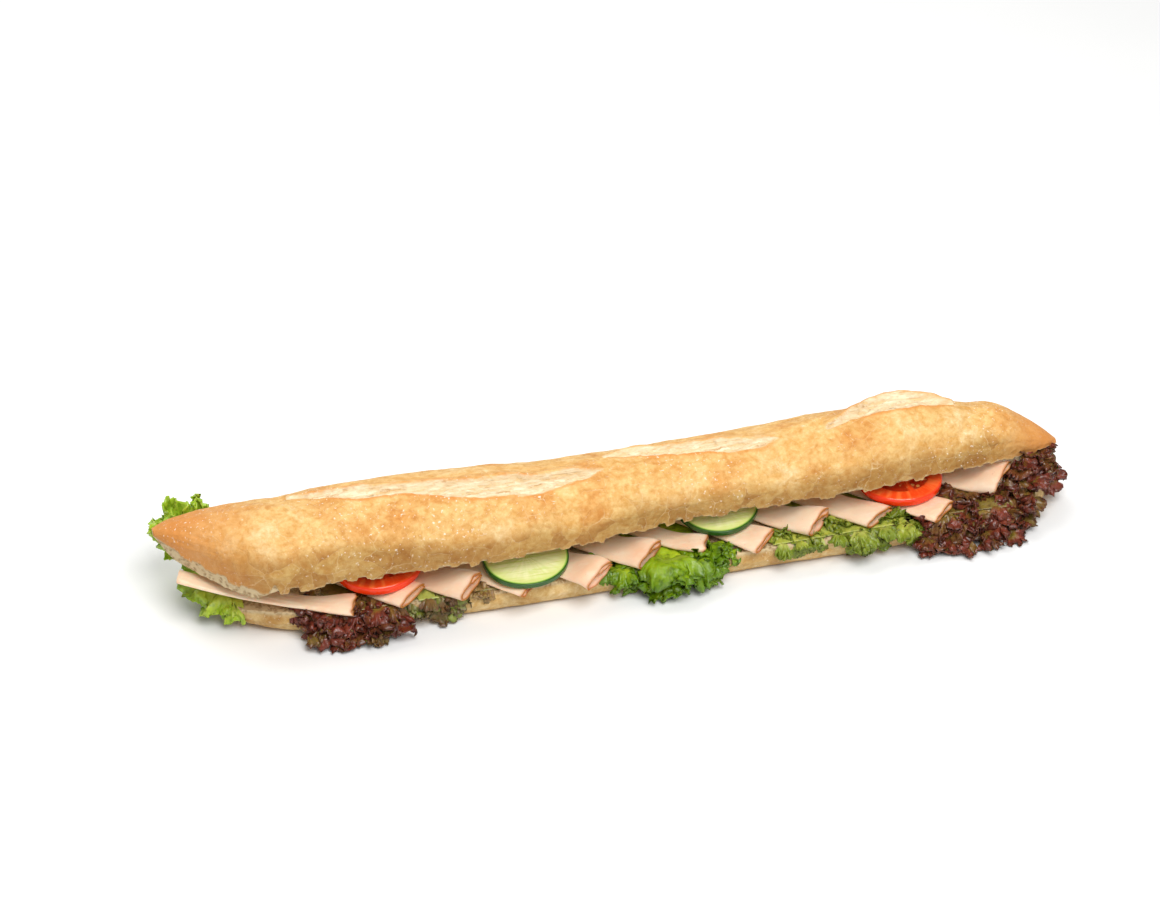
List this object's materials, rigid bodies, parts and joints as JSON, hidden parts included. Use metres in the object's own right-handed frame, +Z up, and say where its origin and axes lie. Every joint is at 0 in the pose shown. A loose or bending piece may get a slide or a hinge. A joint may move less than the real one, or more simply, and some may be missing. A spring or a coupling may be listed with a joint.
{
  "type": "submarine sandwich",
  "caption": "Long baguette sandwich filled with rolled slices of turkey, tomato, cucumber, green salad and red salad leaves.",
  "frame": {"origin": "middle of the flat foot under the lower bread half", "axes": "+X along the loaf to the right as seen from the open side, -Y towards the open side, +Z up"},
  "size_m": [0.5288, 0.1081, 0.0739],
  "materials": {
    "crust": "dry baked crust, matt",
    "meat": "moist cooked slices, satin",
    "tomato": "wet cut flesh and skin",
    "cucumber": "wet cut flesh in dark green peel",
    "green_leaf": "fresh leaf, waxy",
    "pale_leaf": "fresh leaf, waxy",
    "red_leaf": "fresh leaf, waxy",
    "olive_leaf": "fresh leaf, waxy"
  },
  "bodies": {
    "root": {"bread_base": "crust", "bread_top": "crust", "meat_roll_01": "meat", "meat_roll_02": "meat", "meat_roll_03": "meat", "meat_roll_04": "meat", "meat_roll_05": "meat", "meat_roll_06": "meat", "meat_roll_07": "meat", "meat_roll_08": "meat", "meat_roll_09": "meat", "meat_roll_10": "meat", "meat_roll_11": "meat", "meat_roll_12": "meat", "cucumber_slice_left": "cucumber", "cucumber_slice_right": "cucumber", "tomato_slice_left": "tomato", "tomato_slice_right": "tomato", "lettuce_green_end": "green_leaf", "lettuce_green_middle": "green_leaf", "lettuce_pale": "pale_leaf", "lettuce_olive": "olive_leaf", "lettuce_brown": "red_leaf", "lettuce_red_left": "red_leaf", "lettuce_red_right": "red_leaf", "lettuce_red_end": "red_leaf"}
  },
  "joints": []
}
